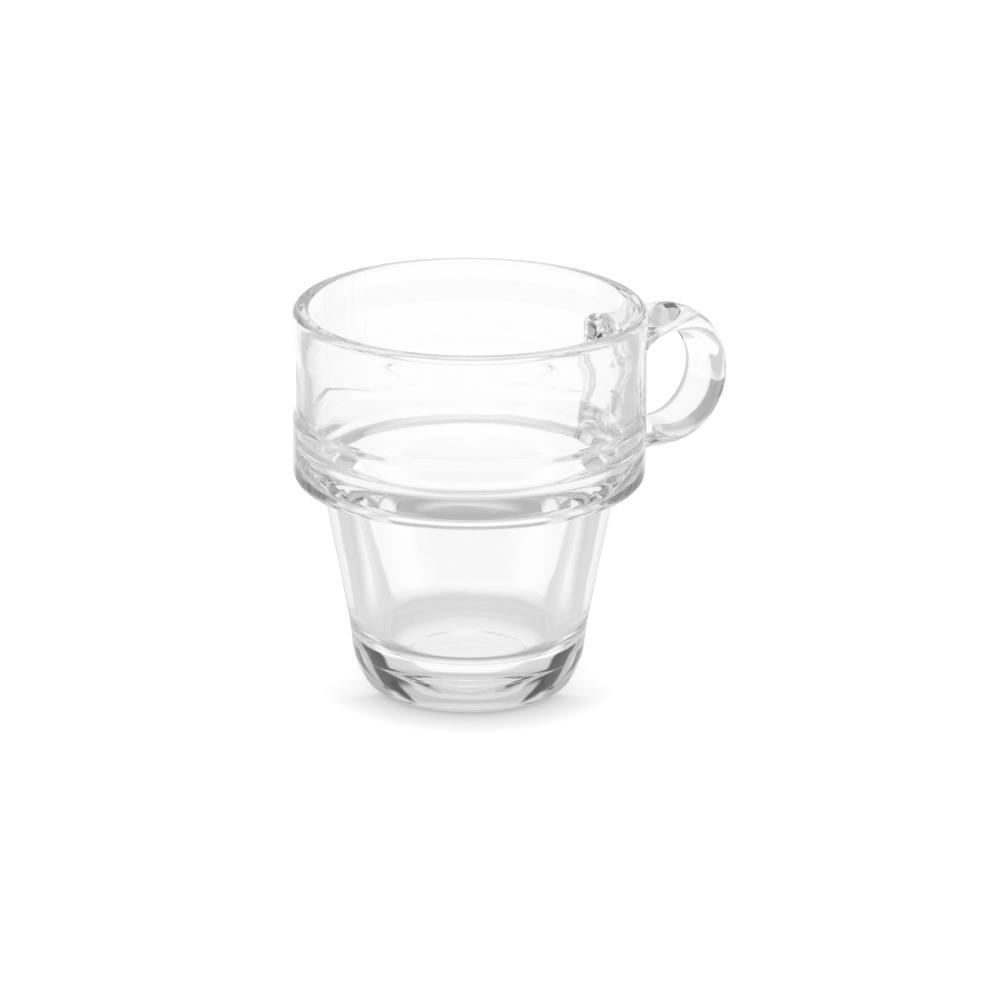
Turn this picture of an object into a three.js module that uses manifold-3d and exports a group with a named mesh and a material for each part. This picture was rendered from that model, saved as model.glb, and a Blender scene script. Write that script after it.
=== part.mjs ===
// A small stacking mug of clear pressed glass: a stepped cup and the ring handle on its side.
// Units are millimetres, +Z is up, the mug stands on z = 0 and its handle points along +X.
// The origin is the middle of the mug's footprint box, so the cup's own axis lies at negative x.

import * as THREE from 'three';
import { mergeVertices } from 'three/addons/utils/BufferGeometryUtils.js';
import Module from 'manifold-3d';

// Heights above the table
const rimHeight = 69.4;
const shoulderHeight = 38.3; // flat underside that sits on the rim of the mug below when stacked
const footHeight = 12.0; // where the cone turns into the upright part of the foot

// Outside of the cup, worked inwards and downwards from the drum
const drumRadius = 30.4;
const lipProud = 0.6; // swell of the lip over the drum
const lipHeight = 3.6;
const lipRunout = 5.0; // height in which the lip runs out into the drum
const bandProud = 0.55; // plain belt between the shoulder and the drum
const bandHeight = 11.3;
const bandRunout = 1.1; // height in which the belt runs out into the drum
const shoulderOverhang = 4.65;
const coneTaper = 5.21; // how much the cone narrows on its way down to the foot
const footUpright = 7.0; // height of the foot's upper part, which is nearly upright
const bellyInset = 0.84; // how much that part narrows downwards
const footTaper = 3.54; // from the foot's top to its base
const puntInset = 5.85; // from the foot's outer edge to the hollow under it
const puntDepth = 0.4;
const puntBevel = 1.15;

// Inside of the cup: walls are measured level, floors upright
const lipThickness = 2.9;
const drumWall = 2.7;
const ledgeThickness = 6.2; // from the shoulder's underside up to the ledge's outer edge
const ledgeDrop = 6.2; // how far the sloping ledge comes down to the well
const wellTopWall = 5.4;
const wellFloorWall = 5.75;
const floorThickness = 8.7;
const floorDish = 0.1;

// Rounds of the cup
const lipRound = 1.3;
const lipInsideRound = 0.8;
const shoulderRound = 1.6;
const armpitRound = 0.6; // under the shoulder, where it meets the cone
const bellyRound = 11.0; // where the foot turns in towards its base
const footRound = 3.0;
const ledgeRound = 5.6;
const wellRound = 1.3; // where the ledge turns down into the well
const floorRound = 4.3;

// Ring handle
const fingerHoleRadius = 8.5;
const ringThickness = 4.5;
const ringWidth = 10.2;
const crownFlat = 0.8; // flat along the top of the ring's rounded crown
const crownDepth = 2.7; // how far the crown reaches down the ring's sides
const holeEdgeWidth = 1.7; // rounded edges of the finger hole, across the ring
const holeEdgeDepth = 1.5; // the same edges, outwards from the hole
const webThickness = 5.9; // upright web of glass between the drum and the finger hole
const handleReach = 11.7; // from the drum to the finger hole's centre
const handleRise = 11.3; // finger hole's centre above the shoulder
const jointGap = 0.3; // between the handle's root and the cup

// Facets
const cupFacets = 64;
const ringFacets = 40;
const arcStep = THREE.MathUtils.degToRad(30);

// Sizes that follow from these
const rimRadius = drumRadius + lipProud;
const lipLow = rimHeight - lipHeight;
const bandRadius = drumRadius + bandProud;
const bandTop = shoulderHeight + bandHeight;
const coneTopRadius = bandRadius - shoulderOverhang;
const footRadius = coneTopRadius - coneTaper;
const footBaseRadius = footRadius - footTaper;
const puntRadius = footBaseRadius - puntInset;
const ledgeHeight = shoulderHeight + ledgeThickness;
const wellTopHeight = ledgeHeight - ledgeDrop;
const ringRadius = fingerHoleRadius + ringThickness;
const ringCentre = drumRadius + handleReach;
const ringHeight = shoulderHeight + handleRise;
const webFace = drumRadius + webThickness;
const cupAxisX = (rimRadius - ringCentre - ringRadius) / 2;

const wasm = await Module();
wasm.setup();

// A corner of a profile: radius, height and the round that softens it.
function corner(radius, height, round = 0) {
  return { point: new THREE.Vector2(radius, height), round };
}

// Arc of an ellipse about (x, y), from one angle to another in degrees, as points.
function arc(x, y, xRadius, yRadius, from, to) {
  const [start, end] = [from, to].map(THREE.MathUtils.degToRad);
  const steps = Math.max(2, Math.ceil(Math.abs(end - start) / arcStep));
  return new THREE.EllipseCurve(x, y, xRadius, yRadius, start, end, to < from).getPoints(steps);
}

// Points of an open profile whose corners are softened by circular arcs.
// A round takes no more of an edge than its neighbour leaves free.
function roundedProfile(corners) {
  const points = [];
  corners.forEach(({ point, round }, i) => {
    if (round === 0) {
      points.push(point);
      return;
    }
    const edges = [corners[i - 1], corners[i + 1]].map((other) => {
      const edge = other.point.clone().sub(point);
      const free = edge.length() * (other.round > 0 ? 0.5 : 1);
      return { free, along: edge.normalize() };
    });
    const [back, ahead] = edges.map((edge) => edge.along);
    const half = back.angleTo(ahead) / 2;
    const reach = Math.min(round / Math.tan(half), edges[0].free, edges[1].free);
    const inwards = back.clone().add(ahead).normalize();
    const centre = point.clone().addScaledVector(inwards, reach / Math.cos(half));
    const start = point.clone().addScaledVector(back, reach);
    const sweep = -Math.sign(back.cross(ahead)) * (Math.PI - 2 * half);
    const steps = Math.max(2, Math.ceil(Math.abs(sweep) / arcStep));
    for (let k = 0; k <= steps; k++) {
      points.push(start.clone().rotateAround(centre, (sweep * k) / steps));
    }
  });
  return points;
}

// Closed solid of a geometry, for joining and cutting.
function solidOf(geometry) {
  const bare = geometry.clone();
  bare.deleteAttribute('normal');
  bare.deleteAttribute('uv');
  const welded = mergeVertices(bare);
  const index = welded.index.array;
  const triangles = [];
  for (let i = 0; i < index.length; i += 3) {
    const [a, b, c] = index.slice(i, i + 3);
    if (a !== b && b !== c && c !== a) {
      triangles.push(a, b, c);
    }
  }
  const vertProperties = new Float32Array(welded.attributes.position.array);
  const triVerts = new Uint32Array(triangles);
  return new wasm.Manifold(new wasm.Mesh({ numProp: 3, vertProperties, triVerts }));
}

// Geometry of a joined or cut solid.
function geometryOf(solid) {
  const { vertProperties, triVerts } = solid.getMesh();
  const geometry = new THREE.BufferGeometry();
  geometry.setAttribute('position', new THREE.BufferAttribute(vertProperties, 3));
  geometry.setIndex(new THREE.BufferAttribute(triVerts, 1));
  geometry.computeVertexNormals();
  return geometry;
}

// Turned body about the cup's upright axis.
function turnedUpright(points) {
  return new THREE.LatheGeometry(points, cupFacets).rotateX(Math.PI / 2);
}

// Turned body about the level axis of the handle's ring, in its place beside the cup.
function turnedRing(points) {
  return new THREE.LatheGeometry(points, ringFacets).translate(ringCentre, 0, ringHeight);
}

// Outer radius of the cone at a height, carried on past its ends.
function coneRadiusAt(height) {
  return footRadius + (coneTaper * (height - footHeight)) / (shoulderHeight - footHeight);
}

// Cup: up the outside from the punt to the lip, then down the inside to the floor.
function cupGeometry() {
  const outside = [
    corner(0, puntDepth),
    corner(puntRadius - puntBevel, puntDepth),
    corner(puntRadius, 0),
    corner(footBaseRadius, 0, footRound),
    corner(footRadius - bellyInset, footHeight - footUpright, bellyRound),
    corner(footRadius, footHeight),
    corner(coneTopRadius, shoulderHeight, armpitRound),
    corner(bandRadius, shoulderHeight, shoulderRound),
    corner(bandRadius, bandTop),
    corner(drumRadius, bandTop + bandRunout),
    corner(drumRadius, lipLow - lipRunout),
    corner(rimRadius, lipLow),
    corner(rimRadius, rimHeight, lipRound),
  ];
  const inside = [
    corner(rimRadius - lipThickness, rimHeight, lipInsideRound),
    corner(drumRadius - drumWall, ledgeHeight, ledgeRound),
    corner(coneRadiusAt(wellTopHeight) - wellTopWall, wellTopHeight, wellRound),
    corner(coneRadiusAt(floorThickness) - wellFloorWall, floorThickness, floorRound),
    corner(0, floorThickness - floorDish),
  ];
  return turnedUpright(roundedProfile([...outside, ...inside]));
}

// Rounded crown of the ring's section, from one side to the other:
// distance out from the ring's centre, and offset across the ring.
function crownPoints() {
  const foot = ringRadius - crownDepth;
  const halfWidth = (ringWidth - crownFlat) / 2;
  return [
    ...arc(foot, -crownFlat / 2, crownDepth, halfWidth, -90, 0),
    ...arc(foot, crownFlat / 2, crownDepth, halfWidth, 0, 90),
  ];
}

// Round end of the handle, still without its finger hole.
function ringDisc() {
  const side = ringWidth / 2;
  return turnedRing([new THREE.Vector2(0, -side), ...crownPoints(), new THREE.Vector2(0, side)]);
}

// Straight root of the handle, as high as the ring, from the cup's axis to the ring's centre.
function rootBlock() {
  const over = crownPoints();
  const under = crownPoints().reverse();
  under.forEach((point) => point.setX(-point.x));
  const outline = new THREE.Shape([...over, ...under]);
  const block = new THREE.ExtrudeGeometry(outline, { depth: ringCentre, bevelEnabled: false });
  return block.rotateY(Math.PI / 2).translate(0, 0, ringHeight);
}

// Round plug that widens over the finger hole's rounded edges.
function fingerPlug() {
  const edge = fingerHoleRadius + holeEdgeDepth;
  const arcHeight = ringWidth / 2 - holeEdgeWidth;
  return turnedRing([
    new THREE.Vector2(0, -ringWidth),
    new THREE.Vector2(edge, -ringWidth),
    ...arc(edge, -arcHeight, holeEdgeDepth, holeEdgeWidth, -90, -180),
    ...arc(edge, arcHeight, holeEdgeDepth, holeEdgeWidth, 180, 90),
    new THREE.Vector2(edge, ringWidth),
    new THREE.Vector2(0, ringWidth),
  ]);
}

// Upright web that flattens the finger hole beside the cup, with the hole's rounded edges.
function webBlock() {
  const edge = webFace - holeEdgeDepth;
  const arcHeight = ringWidth / 2 - holeEdgeWidth;
  const outline = new THREE.Shape([
    new THREE.Vector2(0, -ringWidth),
    new THREE.Vector2(edge, -ringWidth),
    ...arc(edge, -arcHeight, holeEdgeDepth, holeEdgeWidth, -90, 0),
    ...arc(edge, arcHeight, holeEdgeDepth, holeEdgeWidth, 0, 90),
    new THREE.Vector2(edge, ringWidth),
    new THREE.Vector2(0, ringWidth),
  ]);
  const block = new THREE.ExtrudeGeometry(outline, { depth: 2 * ringRadius, bevelEnabled: false });
  return block.translate(0, 0, ringHeight - ringRadius);
}

// What the finger hole takes away.
function fingerHole() {
  return solidOf(fingerPlug()).subtract(solidOf(webBlock()));
}

// What the cup takes from the root. Below the shoulder the cut goes straight down,
// so that the handle clears the rim of the mug below in a stack.
function cupClearance() {
  return turnedUpright([
    new THREE.Vector2(0, 0),
    new THREE.Vector2(bandRadius + jointGap, 0),
    new THREE.Vector2(bandRadius + jointGap, bandTop),
    new THREE.Vector2(drumRadius + jointGap, bandTop + bandRunout),
    new THREE.Vector2(drumRadius + jointGap, lipLow - lipRunout),
    new THREE.Vector2(rimRadius + jointGap, lipLow),
    new THREE.Vector2(rimRadius + jointGap, rimHeight),
    new THREE.Vector2(0, rimHeight),
  ]);
}

// Handle: a round ring that runs back to the cup as a straight, solid root.
function handleGeometry() {
  const solid = solidOf(ringDisc())
    .add(solidOf(rootBlock()))
    .subtract(fingerHole())
    .subtract(solidOf(cupClearance()));
  return geometryOf(solid);
}

// Clear soda-lime glass, fire polished.
function clearGlass() {
  return new THREE.MeshStandardMaterial({
    color: 0xf1f5f4,
    roughness: 0.03,
    metalness: 0,
    transparent: true,
    opacity: 0.35,
  });
}

function part(name, geometry) {
  const mesh = new THREE.Mesh(geometry, clearGlass());
  mesh.name = name;
  return mesh;
}

const mug = new THREE.Group();
mug.position.x = cupAxisX;
mug.add(part('cup_body', cupGeometry()), part('ring_handle', handleGeometry()));

const footprint = new THREE.Group();
footprint.add(mug);

export default footprint;
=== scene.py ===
import math

import bpy
from mathutils import Matrix, Vector


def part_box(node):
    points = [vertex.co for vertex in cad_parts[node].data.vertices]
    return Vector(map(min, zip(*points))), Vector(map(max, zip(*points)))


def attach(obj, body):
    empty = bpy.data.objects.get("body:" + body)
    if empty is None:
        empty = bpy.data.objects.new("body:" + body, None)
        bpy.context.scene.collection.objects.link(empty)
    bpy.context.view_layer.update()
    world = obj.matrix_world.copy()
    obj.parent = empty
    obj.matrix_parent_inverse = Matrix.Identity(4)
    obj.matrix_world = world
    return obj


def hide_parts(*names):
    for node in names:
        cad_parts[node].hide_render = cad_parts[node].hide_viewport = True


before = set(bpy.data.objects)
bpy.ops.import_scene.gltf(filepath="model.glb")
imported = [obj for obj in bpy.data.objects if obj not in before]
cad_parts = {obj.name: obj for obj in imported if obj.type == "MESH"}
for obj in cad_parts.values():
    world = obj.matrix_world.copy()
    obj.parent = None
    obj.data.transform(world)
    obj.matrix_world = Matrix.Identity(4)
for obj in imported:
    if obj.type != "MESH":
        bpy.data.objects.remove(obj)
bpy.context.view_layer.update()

MM = 0.001

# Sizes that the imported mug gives, in millimetres
CUP_LOW, CUP_HIGH = [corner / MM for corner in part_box("cup_body")]
HANDLE_LOW, HANDLE_HIGH = [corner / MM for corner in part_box("ring_handle")]
CUP_AXIS = (CUP_LOW.x + CUP_HIGH.x) / 2
RIM_RADIUS = (CUP_HIGH.x - CUP_LOW.x) / 2
RIM_HEIGHT = CUP_HIGH.z
RING_RADIUS = (HANDLE_HIGH.z - HANDLE_LOW.z) / 2
RING_WIDTH = HANDLE_HIGH.y - HANDLE_LOW.y
RING_CENTRE = HANDLE_HIGH.x - RING_RADIUS
RING_HEIGHT = (HANDLE_HIGH.z + HANDLE_LOW.z) / 2

# Outside of the cup, in millimetres, from the lip down to the hollow under the foot
LIP_PROUD = 0.6
LIP_DEPTH = 3.6
LIP_RUNOUT = 5.0
BAND_PROUD = 0.55
BAND_TOP = 49.6
BAND_RUNOUT = 1.1
SHOULDER_HEIGHT = 38.3
SHOULDER_OVERHANG = 4.65
CONE_TAPER = 5.21
FOOT_HEIGHT = 12.0
FOOT_UPRIGHT = 7.0
BELLY_INSET = 0.84
FOOT_TAPER = 3.54
FOOT_RING_WIDTH = 5.85
PUNT_BEVEL = 1.15
PUNT_DEPTH = 0.4
DRUM_RADIUS = RIM_RADIUS - LIP_PROUD
LIP_LOW = RIM_HEIGHT - LIP_DEPTH
BAND_RADIUS = DRUM_RADIUS + BAND_PROUD
CONE_TOP_RADIUS = BAND_RADIUS - SHOULDER_OVERHANG
FOOT_RADIUS = CONE_TOP_RADIUS - CONE_TAPER
BELLY_RADIUS = FOOT_RADIUS - BELLY_INSET
BELLY_HEIGHT = FOOT_HEIGHT - FOOT_UPRIGHT
FOOT_BASE_RADIUS = FOOT_RADIUS - FOOT_TAPER
PUNT_RADIUS = FOOT_BASE_RADIUS - FOOT_RING_WIDTH

# Inside of the cup, in millimetres
LIP_THICKNESS = 2.9
DRUM_WALL = 2.7
LEDGE_THICKNESS = 6.2
LEDGE_DROP = 6.2
WELL_TOP_WALL = 5.4
WELL_FLOOR_WALL = 5.75
FLOOR_HEIGHT = 8.7
FLOOR_DISH = 0.1
LEDGE_HEIGHT = SHOULDER_HEIGHT + LEDGE_THICKNESS
WELL_TOP_HEIGHT = LEDGE_HEIGHT - LEDGE_DROP

# Rounds of the cup's corners, in millimetres
PUNT_ROUND = 0.4
BASE_ROUND = 3.0
BELLY_ROUND = 11.0
FOOT_TOP_ROUND = 3.0
CONE_TOP_ROUND = 0.6
BAND_ROUND = 1.6
LIP_RUNOUT_ROUND = 16.0
LIP_ROUND = 1.3
LIP_INSIDE_ROUND = 0.8
LEDGE_ROUND = 5.6
WELL_TOP_ROUND = 1.3
FLOOR_ROUND = 4.3

# Handle, in millimetres and degrees
FINGER_HOLE_RADIUS = 8.5
WEB_THICKNESS = 5.9
HOLE_EDGE_DEPTH = 1.8
HOLE_CURVE_DEPTH = 2.4
CROWN_DEPTH = RING_RADIUS - FINGER_HOLE_RADIUS - HOLE_EDGE_DEPTH
ROOT_FILLET = 0.35
ROOT_FILLET_ANGLES = (25, 45, 60, 72)
ROOT_SINK = 1.6
ROOT_CUTS = (1.5, 2.2, 4.5, 7.0, 9.5)
STACK_CLEARANCE = 0.05
STACK_NOTCH = 1.2

# Places on the handle, in metres
RING_MIDDLE = Vector((RING_CENTRE, 0, RING_HEIGHT)) * MM
RING_WIDEST = (FINGER_HOLE_RADIUS + HOLE_EDGE_DEPTH) * MM
DRUM_FACE = (CUP_AXIS + DRUM_RADIUS) * MM

# Fineness of the modelled surfaces, the lengths in millimetres
CUP_STEPS = 288
PROFILE_STEP = 1.6
ROUND_SEGMENTS = 8
TRUE_ARC = 0.5
RING_STEPS = 128
SECTION_POINTS = 48
CREASE_ANGLE = math.radians(40)
LARGE_FACE_WEIGHT = 70

# Tolerances, in millimetres
SAME_POINT = 0.001
SAME_ROW = 0.002
SLACK = 0.01

# Decimals of a metre that tell the ring's rows apart, and how squarely an end face looks at the cup
ROW_DIGITS = 7
SQUARE_ON = 0.99

# Numbers that faces carry while the pieces are fused, and their places in the list of materials after it
CUP_FACES = 0
HANDLE_FACES = 1
GLASS_SLOT = 0
JOINT_SLOT = 1

# Glass: the ripple of the mould in millimetres, and the bounces that light needs to get through all walls
GLASS_COLOUR = "#FFFFFF"
GLASS_ROUGHNESS = 0.045
GLASS_IOR = 1.51
GLASS_BOUNCES = 32
RIPPLE_SIZE = 7.0
RIPPLE_DEPTH = 0.04
RIPPLE_DETAIL = 1.0

# Camera, in millimetres and degrees: level distance from the cup's axis, height, and the way it looks
CAMERA_DISTANCE = 965.0
CAMERA_HEIGHT = 363.5
CAMERA_ROUND = math.radians(35.86)
CAMERA_ASIDE = math.radians(0.322)
CAMERA_DOWN = math.radians(18.865)
CAMERA_ROLL = math.radians(0.4126)
CAMERA_LENS = 208.65
CAMERA_SENSOR = 36.0
CAMERA_NEAREST = 10.0

# Tones are given as stops of place and level. A turn is counted in half turns from straight behind the mug,
# a distance in metres from the cup's axis, and a height from 0 at the horizon to 1 overhead.

# Board: its size in metres, its own glow, which makes it white, and the contact shadow in front of the foot.
# The shadow's reach is in metres, and its stops go by the share of open sky over a spot.
BOARD_SIZE = 6.0
BOARD_GLOW = 0.58
SHADOW_REACH = 0.011
SHADOW_STOPS = ((0.0, 0.58), (0.5, 0.77), (1.0, 1.0))
SHADOW_TURN_STOPS = ((0.5, 0.97), (0.62, 0.9), (0.8, 0.0))

# Board in the glass, painted: a pool of light behind the mug, shade further out to both sides, the mug's
# shade at the foot
LIGHT_POOL_TURN_STOPS = ((0.19, 1.0), (0.21, 0.66), (0.34, 0.64), (0.42, 0.95))
LIGHT_POOL_DISTANCE_STOPS = ((0.038, 0.0), (0.048, 1.0))
FOOT_SHADE_DISTANCE_STOPS = ((0.0125, 0.95), (0.0165, 0.86), (0.019, 0.74), (0.03, 0.7), (0.038, 0.74),
                             (0.048, 0.0))
# The mug's painted contact shadow: a dark ring round the foot, lifted behind the mug
CONTACT_SHADOW_DISTANCE_STOPS = ((0.0105, 1.0), (0.0125, 0.76), (0.0145, 0.73), (0.016, 0.45), (0.019, 0.5),
                          (0.022, 0.85), (0.03, 1.0))
CONTACT_SHADOW_TURN_STOPS = ((0.45, 1.0), (0.6, 0.0))

# Studio: the backdrop stands across the mug from the camera, with a dark flag leaning in at each side of it
STUDIO_TURN = CAMERA_ROUND - math.pi / 2
BACKDROP_COLOUR = "#FFFFFF"
BACKDROP_TURN_STOPS = ((0.2, 1.0), (0.24, 0.0))
BACKDROP_HEIGHT_STOPS = ((0.0, 0.3), (0.08, 0.14), (0.3, 0.12), (0.36, 0.28), (0.5, 0.28), (0.6, 0.14))
WALL_HEIGHT_STOPS = ((0.7, 0.46), (0.8, 0.7))
SOFTBOX_TURN_STOPS = ((0.45, 0.0), (0.6, 1.0))
SOFTBOX_HEIGHT_STOPS = ((0.7, 0.0), (0.85, 0.35))
FLAG_LEAN = 0.207
FLAG_TURN_STOPS = ((0.2, 1.0), (0.214, 0.08), (0.306, 0.08), (0.32, 1.0), (0.45, 1.0), (0.6, 0.27))
FLAG_HEIGHT_STOPS = ((0.34, 0.0), (0.38, 1.0))


def start_piece(name):
    """Name the primitive just added, put its place into its mesh and open it for editing."""
    piece = bpy.context.object
    piece.name = name
    piece.data.name = name
    bpy.ops.object.transform_apply(location=True, rotation=True, scale=True)
    bpy.ops.object.mode_set(mode="EDIT")
    bpy.ops.mesh.select_mode(type="VERT")
    return piece


def choose(piece, kind, test):
    """Select, in edit mode, the vertices, edges or faces that pass a test, and nothing else."""
    bpy.ops.mesh.select_mode(type=kind)
    bpy.ops.mesh.select_all(action="DESELECT")
    bpy.ops.object.mode_set(mode="OBJECT")
    mesh = piece.data
    group = {"VERT": mesh.vertices, "EDGE": mesh.edges, "FACE": mesh.polygons}[kind]
    for item in group:
        item.select = bool(test(item))
    bpy.ops.object.mode_set(mode="EDIT")


def close_and_turn_out():
    """Merge what a spin or cut left double and point every face outwards."""
    bpy.ops.mesh.select_all(action="SELECT")
    bpy.ops.mesh.remove_doubles(threshold=SAME_POINT * MM)
    bpy.ops.mesh.normals_make_consistent(inside=False)


def draw_profile(name, corners):
    """Wire through corners of radius, height and round, beside the cup's axis."""
    spots = [Vector((CUP_AXIS + radius, 0, height)) * MM for radius, height, _ in corners]
    bpy.ops.object.select_all(action="DESELECT")
    bpy.ops.mesh.primitive_plane_add(size=MM, location=spots[0])
    piece = start_piece(name)
    bpy.ops.mesh.merge(type="CENTER")
    for here, there in zip(spots, spots[1:]):
        bpy.ops.mesh.extrude_region_move(TRANSFORM_OT_translate={"value": there - here})
    for i, (_, _, round_radius) in enumerate(corners):
        if round_radius > 0:
            turn = (spots[i] - spots[i - 1]).angle(spots[i + 1] - spots[i])
            choose(piece, "VERT", lambda v: (v.co - spots[i]).length < SAME_POINT * MM)
            bpy.ops.mesh.bevel(affect="VERTICES", offset=round_radius * MM * math.tan(turn / 2),
                               segments=ROUND_SEGMENTS, profile=TRUE_ARC)
    return piece


def halve_long_edges(piece, longest):
    """Subdivide a wire until no edge is longer than a length."""
    def is_long(edge):
        a, b = [piece.data.vertices[i].co for i in edge.vertices]
        return (a - b).length > longest * MM

    while True:
        choose(piece, "EDGE", is_long)
        if not any(edge.select for edge in piece.data.edges):
            return
        bpy.ops.mesh.subdivide(number_cuts=1)


def cone_radius(height):
    """Radius of the cone's outside at a height."""
    slope = (CONE_TOP_RADIUS - FOOT_RADIUS) / (SHOULDER_HEIGHT - FOOT_HEIGHT)
    return FOOT_RADIUS + slope * (height - FOOT_HEIGHT)


def model_cup():
    """Draw the cup's half section, round its corners and spin it about the cup's axis."""
    piece = draw_profile("cup_body_glass", [
        (0, PUNT_DEPTH, 0),
        (PUNT_RADIUS - PUNT_BEVEL, PUNT_DEPTH, PUNT_ROUND),
        (PUNT_RADIUS, 0, PUNT_ROUND),
        (FOOT_BASE_RADIUS, 0, BASE_ROUND),
        (BELLY_RADIUS, BELLY_HEIGHT, BELLY_ROUND),
        (FOOT_RADIUS, FOOT_HEIGHT, FOOT_TOP_ROUND),
        (CONE_TOP_RADIUS, SHOULDER_HEIGHT, CONE_TOP_ROUND),
        (BAND_RADIUS, SHOULDER_HEIGHT, BAND_ROUND),
        (BAND_RADIUS, BAND_TOP, BAND_ROUND),
        (DRUM_RADIUS, BAND_TOP + BAND_RUNOUT, BAND_ROUND),
        (DRUM_RADIUS, LIP_LOW - LIP_RUNOUT, LIP_RUNOUT_ROUND),
        (RIM_RADIUS, LIP_LOW, LIP_RUNOUT_ROUND),
        (RIM_RADIUS, RIM_HEIGHT, LIP_ROUND),
        (RIM_RADIUS - LIP_THICKNESS, RIM_HEIGHT, LIP_INSIDE_ROUND),
        (DRUM_RADIUS - DRUM_WALL, LEDGE_HEIGHT, LEDGE_ROUND),
        (cone_radius(WELL_TOP_HEIGHT) - WELL_TOP_WALL, WELL_TOP_HEIGHT, WELL_TOP_ROUND),
        (cone_radius(FLOOR_HEIGHT) - WELL_FLOOR_WALL, FLOOR_HEIGHT, FLOOR_ROUND),
        (0, FLOOR_HEIGHT - FLOOR_DISH, 0),
    ])
    halve_long_edges(piece, PROFILE_STEP)
    bpy.ops.mesh.select_all(action="SELECT")
    bpy.ops.mesh.spin(steps=CUP_STEPS, angle=2 * math.pi, center=(CUP_AXIS * MM, 0, 0), axis=(0, 0, 1))
    close_and_turn_out()
    bpy.ops.object.mode_set(mode="OBJECT")
    return piece


def spin_ring():
    """Spin an oval section, flat where it faces the finger hole, into a ring."""
    half_width = RING_WIDTH / 2 * MM
    section = RING_MIDDLE + Vector((RING_WIDEST, 0, 0))
    bpy.ops.object.select_all(action="DESELECT")
    bpy.ops.mesh.primitive_circle_add(vertices=SECTION_POINTS, radius=half_width, location=section)
    piece = start_piece("ring_handle_glass")
    for side, depth in ((1, CROWN_DEPTH), (-1, HOLE_CURVE_DEPTH)):
        choose(piece, "VERT", lambda v: side * (v.co.x - section.x) > SLACK * MM)
        bpy.ops.transform.resize(value=(depth * MM / half_width, 1, 1), center_override=section)
    hole = section - Vector((HOLE_EDGE_DEPTH * MM, 0, 0))
    choose(piece, "VERT", lambda v: v.co.x < hole.x)
    bpy.ops.transform.resize(value=(0, 1, 1), center_override=hole)
    bpy.ops.mesh.select_all(action="SELECT")
    bpy.ops.mesh.spin(steps=RING_STEPS, angle=2 * math.pi, center=RING_MIDDLE, axis=(0, 1, 0))
    close_and_turn_out()
    return piece


def from_ring_middle(point):
    """Distance from the line through the middle of the finger hole."""
    return Vector((point.x - RING_MIDDLE.x, 0, point.z - RING_MIDDLE.z)).length


def draw_out_root(piece):
    """Draw the outside of the ring's near half out to the cup's axis, as a straight root."""
    choose(piece, "FACE", lambda f: f.center.x < RING_MIDDLE.x and from_ring_middle(f.center) > RING_WIDEST)
    bpy.ops.mesh.extrude_region_move(
        TRANSFORM_OT_translate={"value": ((CUP_AXIS - RING_CENTRE) * MM, 0, 0)})


def straighten_hole(piece):
    """Flatten the finger hole's side beside the cup, row by row, to an even web of glass."""
    bpy.ops.object.mode_set(mode="OBJECT")
    distances = [from_ring_middle(v.co) for v in piece.data.vertices]
    bpy.ops.object.mode_set(mode="EDIT")
    rows = {round(d, ROW_DIGITS) for d in distances if d < RING_WIDEST + SLACK * MM}
    for row in sorted(rows):
        face = DRUM_FACE + (WEB_THICKNESS + FINGER_HOLE_RADIUS) * MM - row
        choose(piece, "VERT", lambda v: v.co.x < face and abs(from_ring_middle(v.co) - row) < SAME_ROW * MM)
        bpy.ops.transform.resize(value=(0, 1, 1), center_override=(face, 0, 0))


def choose_root_end(piece):
    """Select the root's end face, which looks squarely at the cup."""
    last = DRUM_FACE + (ROOT_FILLET + SLACK) * MM
    choose(piece, "FACE", lambda f: f.normal.x < -SQUARE_ON and f.center.x < last)


def spread_root(piece, angle):
    """Carry the root's end face one step nearer the drum and wider, along a concave fillet."""
    radius = ROOT_FILLET * MM
    choose_root_end(piece)
    bpy.ops.object.mode_set(mode="OBJECT")
    end = [f for f in piece.data.polygons if f.select]
    here = piece.data.vertices[end[0].vertices[0]].co.x
    bpy.ops.object.mode_set(mode="EDIT")
    there = DRUM_FACE + radius * (1 - math.sin(angle))
    before = radius - math.sqrt(max(0, radius ** 2 - (DRUM_FACE + radius - here) ** 2))
    after = radius * (1 - math.cos(angle))
    wider, taller = [(half + after) / (half + before) for half in (RING_WIDTH / 2 * MM, RING_RADIUS * MM)]
    bpy.ops.mesh.extrude_region_move(TRANSFORM_OT_translate={"value": (there - here, 0, 0)})
    bpy.ops.transform.resize(value=(1, wider, taller), center_override=RING_MIDDLE)


def end_root(piece):
    """Cut rows into the root for an even mesh, cut it off before the drum, spread it and sink it in."""
    for rise in ROOT_CUTS:
        bpy.ops.mesh.select_all(action="SELECT")
        bpy.ops.mesh.bisect(plane_co=(DRUM_FACE + rise * MM, 0, 0), plane_no=(1, 0, 0))
    bpy.ops.mesh.select_all(action="SELECT")
    bpy.ops.mesh.bisect(plane_co=(DRUM_FACE + ROOT_FILLET * MM, 0, 0), plane_no=(1, 0, 0),
                        use_fill=True, clear_inner=True)
    for angle in ROOT_FILLET_ANGLES:
        spread_root(piece, math.radians(angle))
    choose_root_end(piece)
    bpy.ops.mesh.extrude_region_move(TRANSFORM_OT_translate={"value": (-ROOT_SINK * MM, 0, 0)})


def model_handle():
    """Ring with a hole that is flat beside the cup and a straight root that reaches into the drum."""
    piece = spin_ring()
    draw_out_root(piece)
    straighten_hole(piece)
    end_root(piece)
    bpy.ops.object.mode_set(mode="OBJECT")
    return piece


def copy_of(piece, name):
    """A second object with a mesh of its own."""
    twin = piece.copy()
    twin.data = piece.data.copy()
    twin.name = name
    bpy.context.collection.objects.link(twin)
    return twin


def make_active(piece):
    """Select one piece alone, for the next operator."""
    bpy.ops.object.select_all(action="DESELECT")
    piece.select_set(True)
    bpy.context.view_layer.objects.active = piece


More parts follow.
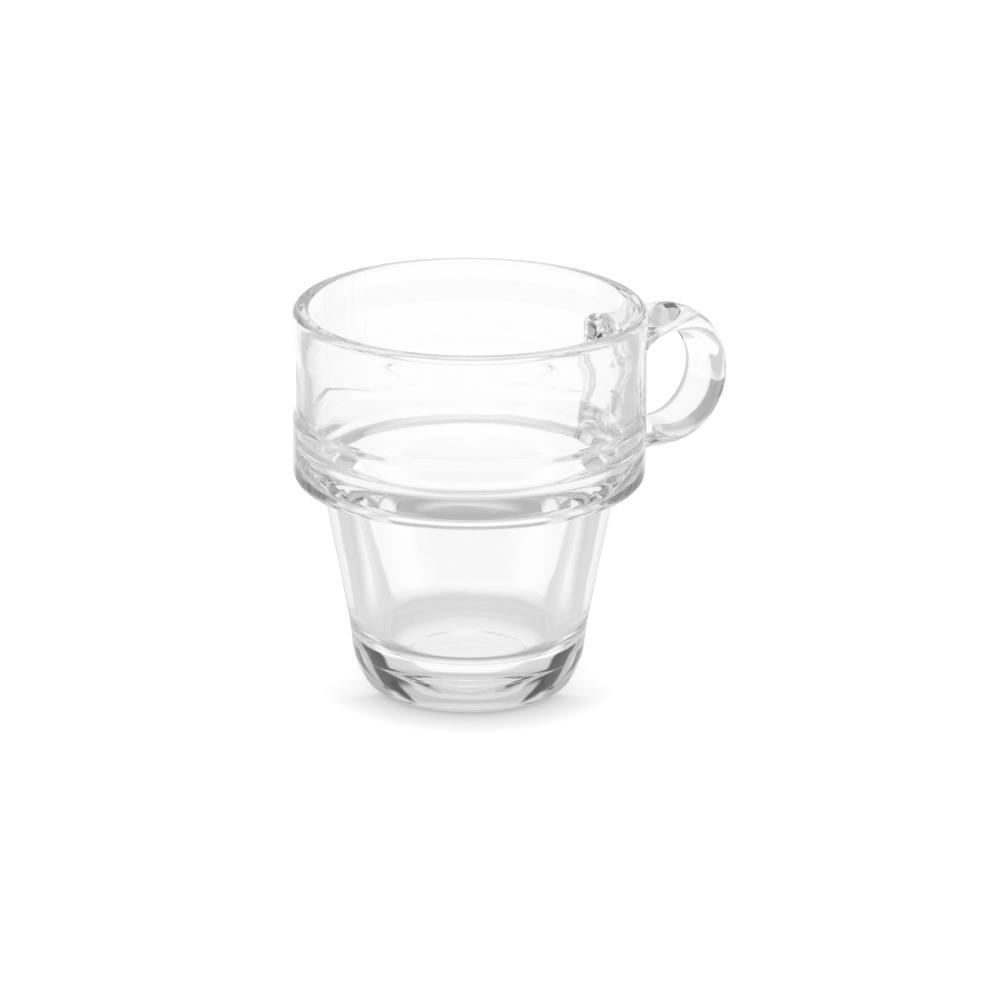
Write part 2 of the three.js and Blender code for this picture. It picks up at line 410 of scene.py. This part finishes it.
def combine(piece, other, operation):
    """Apply a boolean of two pieces to the first. Faces keep the number of their own piece."""
    make_active(piece)
    modifier = piece.modifiers.new("combine", "BOOLEAN")
    modifier.operation = operation
    modifier.solver = "EXACT"
    modifier.object = other
    bpy.ops.object.modifier_apply(modifier=modifier.name)


def keep_faces(piece, number):
    """Delete every face that doesn't carry a number."""
    make_active(piece)
    bpy.ops.object.mode_set(mode="EDIT")
    choose(piece, "FACE", lambda f: f.material_index != number)
    bpy.ops.mesh.delete(type="FACE")
    bpy.ops.object.mode_set(mode="OBJECT")


def number_faces(piece, number):
    """Give every face a number, which is also its place in the list of materials."""
    for face in piece.data.polygons:
        face.material_index = number


def clear_stack(handle):
    """Trim the handle below the shoulder, where the rim of the mug underneath comes up in a stack."""
    bpy.ops.object.select_all(action="DESELECT")
    top = SHOULDER_HEIGHT + STACK_NOTCH
    bpy.ops.mesh.primitive_cylinder_add(
        vertices=CUP_STEPS, radius=(BAND_RADIUS + STACK_CLEARANCE) * MM, depth=top * MM,
        location=(CUP_AXIS * MM, 0, top / 2 * MM))
    trimmer = bpy.context.object
    combine(handle, trimmer, "DIFFERENCE")
    bpy.data.objects.remove(trimmer)


def fuse_joint(cup, handle, glass, joint):
    """Cut both pieces along the line where they meet and close each with the same patch of wall.
    The patch carries the joint's own material, so that light passes from one piece to the other."""
    for piece in (cup, handle):
        piece.data.materials.append(glass)
        piece.data.materials.append(joint)
    number_faces(handle, HANDLE_FACES)
    patch = copy_of(cup, "joint_patch")
    combine(patch, handle, "INTERSECT")
    keep_faces(patch, CUP_FACES)
    number_faces(patch, JOINT_SLOT)
    combine(cup, handle, "UNION")
    whole_handle = copy_of(cup, "fused_handle")
    keep_faces(cup, CUP_FACES)
    keep_faces(whole_handle, HANDLE_FACES)
    handle.data = whole_handle.data
    bpy.data.objects.remove(whole_handle)
    for piece in (cup, handle):
        number_faces(piece, GLASS_SLOT)
        closing = copy_of(patch, "closing")
        make_active(piece)
        closing.select_set(True)
        bpy.ops.object.join()
        bpy.ops.object.mode_set(mode="EDIT")
        close_and_turn_out()
        bpy.ops.object.mode_set(mode="OBJECT")
    bpy.data.objects.remove(patch)


def finish_surface(piece):
    """Smooth shading, with the large faces deciding the normals and true creases kept."""
    make_active(piece)
    bpy.ops.object.shade_smooth_by_angle(angle=CREASE_ANGLE)
    modifier = piece.modifiers.new("even_normals", "WEIGHTED_NORMAL")
    modifier.keep_sharp = True
    modifier.weight = LARGE_FACE_WEIGHT
    bpy.ops.object.modifier_apply(modifier=modifier.name)


def linear(hex_colour):
    """sRGB hex to linear red, green, blue and alpha."""
    channels = [int(hex_colour[i:i + 2], 16) / 255 for i in (1, 3, 5)]
    return [c / 12.92 if c <= 0.04045 else ((c + 0.055) / 1.055) ** 2.4 for c in channels] + [1.0]


def add_node(tree, kind, settings=None, links=None):
    """Add a shader node, set its properties or sockets, and link its sockets to outputs."""
    node = tree.nodes.new(kind)
    for name, value in (settings or {}).items():
        if isinstance(name, int) or name in node.inputs:
            node.inputs[name].default_value = value
        else:
            setattr(node, name, value)
    for name, output in (links or {}).items():
        tree.links.new(output, node.inputs[name])
    return node


def new_material(name):
    """Material with an empty node tree."""
    material = bpy.data.materials.new(name)
    material.use_nodes = True
    material.node_tree.nodes.clear()
    return material


def clear_glass():
    """Soda-lime glass, pressed and fire polished: clear and glossy, with the mould's faint ripple, which
    bends the lines seen through it."""
    material = new_material("clear_soda_lime_glass")
    tree = material.node_tree
    place = add_node(tree, "ShaderNodeTexCoord")
    wave = add_node(tree, "ShaderNodeTexNoise", {"Scale": 1 / (RIPPLE_SIZE * MM), "Detail": RIPPLE_DETAIL},
                    {"Vector": place.outputs["Object"]})
    ripple = add_node(tree, "ShaderNodeBump", {"Strength": 1.0, "Distance": RIPPLE_DEPTH * MM},
                      {"Height": wave.outputs["Fac"]})
    shader = add_node(tree, "ShaderNodeBsdfPrincipled", {
        "Base Color": linear(GLASS_COLOUR), "Roughness": GLASS_ROUGHNESS, "IOR": GLASS_IOR,
        "Transmission Weight": 1.0}, {"Normal": ripple.outputs["Normal"]})
    add_node(tree, "ShaderNodeOutputMaterial", links={"Surface": shader.outputs["BSDF"]})
    return material


def fused_joint():
    """Glass fused to glass has no surface, so light goes straight through."""
    material = new_material("fused_glass_joint")
    tree = material.node_tree
    shader = add_node(tree, "ShaderNodeBsdfTransparent")
    add_node(tree, "ShaderNodeOutputMaterial", links={"Surface": shader.outputs["BSDF"]})
    return material


def grey_ramp(tree, factor, stops):
    """Colour ramp through grey levels at given places."""
    ramp = add_node(tree, "ShaderNodeValToRGB", links={"Fac": factor})
    points = ramp.color_ramp.elements
    while len(points) < len(stops):
        points.new(0.5)
    for point, (place, level) in zip(points, stops):
        point.position = place
        point.color = (level, level, level, 1.0)
    return ramp.outputs["Color"]


def mix_tone(tree, operation, *tones):
    """Tones added up, multiplied or otherwise put together."""
    node = add_node(tree, "ShaderNodeVectorMath", {"operation": operation}, dict(enumerate(tones)))
    return node.outputs["Vector"]


def half_turns(tree, way):
    """How far a direction lies from straight behind the mug, seen from above: 0 behind it, 1 in front."""
    turned = add_node(tree, "ShaderNodeVectorRotate", {"rotation_type": "Z_AXIS", "Angle": STUDIO_TURN},
                      {"Vector": way})
    aside = add_node(tree, "ShaderNodeTexGradient", {"gradient_type": "RADIAL"},
                     {"Vector": turned.outputs["Vector"]}).outputs["Fac"]
    for operation, amount in (("SUBTRACT", 0.5), ("ABSOLUTE", 0.0), ("MULTIPLY", 2.0)):
        step = add_node(tree, "ShaderNodeMath", {"operation": operation, 1: amount}, {0: aside})
        aside = step.outputs["Value"]
    return aside


def tone_in_glass(tree, aside, distance):
    """The board in the glass, as painted light and shade: white behind the mug, grey to both sides, shaded at
    the foot.
    """
    # Painted pool of light, faded in by distance from the mug, plus the mug's painted shade round the foot
    tone = mix_tone(tree, "MULTIPLY_ADD", grey_ramp(tree, aside, LIGHT_POOL_TURN_STOPS),
                    grey_ramp(tree, distance, LIGHT_POOL_DISTANCE_STOPS),
                    grey_ramp(tree, distance, FOOT_SHADE_DISTANCE_STOPS))
    # Painted contact shadow: the dark ring round the foot, kept in front of the mug only
    contact_shadow = mix_tone(tree, "MAXIMUM", grey_ramp(tree, distance, CONTACT_SHADOW_DISTANCE_STOPS),
                       grey_ramp(tree, aside, CONTACT_SHADOW_TURN_STOPS))
    return mix_tone(tree, "MULTIPLY", tone, contact_shadow)


def white_board():
    """Smooth white board. Looked at, it is white but for the mug's soft shadow, which lies in front of the
    foot and fades out at its sides."""
    material = new_material("white_board")
    tree = material.node_tree
    place = add_node(tree, "ShaderNodeTexCoord")
    about_cup = add_node(tree, "ShaderNodeVectorMath", {"operation": "SUBTRACT", 1: (CUP_AXIS * MM, 0, 0)},
                         {0: place.outputs["Object"]}).outputs["Vector"]
    distance = add_node(tree, "ShaderNodeVectorMath", {"operation": "LENGTH"}, {0: about_cup})
    aside = half_turns(tree, about_cup)
    # The board in the glass glows with its painted light and shade instead of being lit by the studio
    in_glass = add_node(tree, "ShaderNodeEmission",
                        links={"Color": tone_in_glass(tree, aside, distance.outputs["Value"])})
    open_sky = add_node(tree, "ShaderNodeAmbientOcclusion", {"Distance": SHADOW_REACH})
    shade = mix_tone(tree, "MAXIMUM", grey_ramp(tree, open_sky.outputs["AO"], SHADOW_STOPS),
                     grey_ramp(tree, aside, SHADOW_TURN_STOPS))
    lit = add_node(tree, "ShaderNodeBsdfDiffuse", links={"Color": shade})
    glow = add_node(tree, "ShaderNodeEmission", {"Strength": BOARD_GLOW}, {"Color": shade})
    white = add_node(tree, "ShaderNodeAddShader", links={0: lit.outputs["BSDF"], 1: glow.outputs["Emission"]})
    rays = add_node(tree, "ShaderNodeLightPath")
    through_glass = add_node(tree, "ShaderNodeMath", {"operation": "ADD", "use_clamp": True},
                             {0: rays.outputs["Is Glossy Ray"], 1: rays.outputs["Is Transmission Ray"]})
    seen = add_node(tree, "ShaderNodeMixShader", links={
        "Fac": rays.outputs["Is Camera Ray"], 1: lit.outputs["BSDF"], 2: white.outputs["Shader"]})
    seen = add_node(tree, "ShaderNodeMixShader", links={
        "Fac": through_glass.outputs["Value"], 1: seen.outputs["Shader"], 2: in_glass.outputs["Emission"]})
    add_node(tree, "ShaderNodeOutputMaterial", links={"Surface": seen.outputs["Shader"]})
    return material


def lay_floor():
    """Board that the mug stands on."""
    bpy.ops.object.select_all(action="DESELECT")
    bpy.ops.mesh.primitive_plane_add(size=BOARD_SIZE)
    floor = start_piece("board_floor")
    bpy.ops.object.mode_set(mode="OBJECT")
    floor.data.materials.append(white_board())


def light_studio():
    """Grey walls, a bright backdrop low behind the mug, a dark flag at each side of it, a dim room and a
    soft light overhead in front. Looked at, the backdrop is plain white."""
    world = bpy.data.worlds.new("studio")
    bpy.context.scene.world = world
    world.use_nodes = True
    tree = world.node_tree
    tree.nodes.clear()
    way = add_node(tree, "ShaderNodeTexCoord").outputs["Generated"]
    aside = half_turns(tree, way)
    up = add_node(tree, "ShaderNodeSeparateXYZ", links={"Vector": way}).outputs["Z"]
    backdrop = mix_tone(tree, "MULTIPLY", grey_ramp(tree, aside, BACKDROP_TURN_STOPS),
                        grey_ramp(tree, up, BACKDROP_HEIGHT_STOPS))
    softbox = mix_tone(tree, "MULTIPLY", grey_ramp(tree, aside, SOFTBOX_TURN_STOPS),
                       grey_ramp(tree, up, SOFTBOX_HEIGHT_STOPS))
    light = mix_tone(tree, "ADD", backdrop, softbox)
    light = mix_tone(tree, "ADD", light, grey_ramp(tree, up, WALL_HEIGHT_STOPS))
    leaning = add_node(tree, "ShaderNodeMath", {"operation": "MULTIPLY_ADD", 1: FLAG_LEAN}, {0: up, 2: aside})
    flags = mix_tone(tree, "MAXIMUM", grey_ramp(tree, leaning.outputs["Value"], FLAG_TURN_STOPS),
                     grey_ramp(tree, up, FLAG_HEIGHT_STOPS))
    light = mix_tone(tree, "MULTIPLY", light, flags)
    room = add_node(tree, "ShaderNodeBackground", links={"Color": light})
    white = add_node(tree, "ShaderNodeBackground", {"Color": linear(BACKDROP_COLOUR)})
    rays = add_node(tree, "ShaderNodeLightPath")
    seen = add_node(tree, "ShaderNodeMixShader", links={
        "Fac": rays.outputs["Is Camera Ray"], 1: room.outputs["Background"], 2: white.outputs["Background"]})
    add_node(tree, "ShaderNodeOutputWorld", links={"Surface": seen.outputs["Shader"]})


def place_camera():
    """Camera at the photograph's viewing angle."""
    bpy.ops.object.camera_add()
    camera = bpy.context.object
    camera.data.lens = CAMERA_LENS
    camera.data.sensor_width = CAMERA_SENSOR
    camera.data.clip_start = CAMERA_NEAREST * MM
    place = Vector((CUP_AXIS - CAMERA_DISTANCE * math.sin(CAMERA_ROUND),
                    -CAMERA_DISTANCE * math.cos(CAMERA_ROUND), CAMERA_HEIGHT)) * MM
    camera.matrix_world = (Matrix.Translation(place)
                           @ Matrix.Rotation(-CAMERA_ROUND - CAMERA_ASIDE, 4, "Z")
                           @ Matrix.Rotation(math.pi / 2 - CAMERA_DOWN, 4, "X")
                           @ Matrix.Rotation(CAMERA_ROLL, 4, "Z"))
    bpy.context.scene.camera = camera


cup = model_cup()
handle = model_handle()
clear_stack(handle)
fuse_joint(cup, handle, clear_glass(), fused_joint())
finish_surface(cup)
finish_surface(handle)
lay_floor()
light_studio()
place_camera()
bpy.context.scene.view_settings.view_transform = "Standard"
bpy.context.scene.cycles.max_bounces = GLASS_BOUNCES
bpy.context.scene.cycles.transmission_bounces = GLASS_BOUNCES
bpy.context.scene.cycles.glossy_bounces = GLASS_BOUNCES
bpy.context.scene.cycles.transparent_max_bounces = GLASS_BOUNCES
for piece, node in ((cup, "cup_body"), (handle, "ring_handle")):
    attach(piece, "root")
    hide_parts(node)
